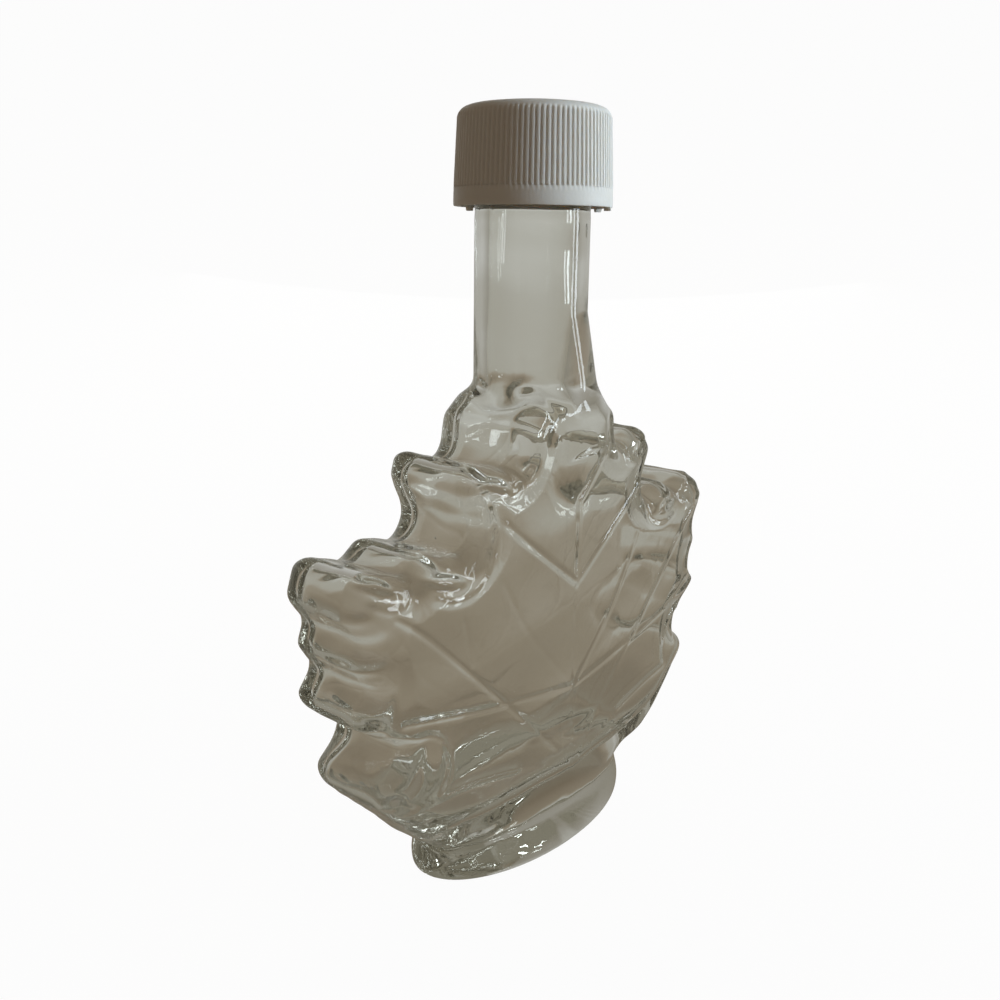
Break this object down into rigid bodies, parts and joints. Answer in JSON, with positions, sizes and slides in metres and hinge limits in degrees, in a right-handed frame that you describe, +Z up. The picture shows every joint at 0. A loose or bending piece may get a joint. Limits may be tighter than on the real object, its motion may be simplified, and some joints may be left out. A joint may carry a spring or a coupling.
{
  "type": "maple leaf glass bottle",
  "caption": "Empty clear glass bottle in the shape of a maple leaf, with a round neck, an oval foot and a white ribbed screw cap.",
  "frame": {"origin": "centre of the foot's underside, on the surface that the bottle stands on", "axes": "+Z up along the neck, X across the leaf, Y through its thickness, with the front face towards -Y"},
  "size_m": [0.11, 0.03, 0.1469],
  "materials": {
    "clear_glass": "moulded clear flint glass, glossy",
    "white_plastic": "moulded white polypropylene, satin"
  },
  "bodies": {
    "root": {"glass_bottle": "clear_glass", "screw_cap": "white_plastic"}
  },
  "joints": []
}
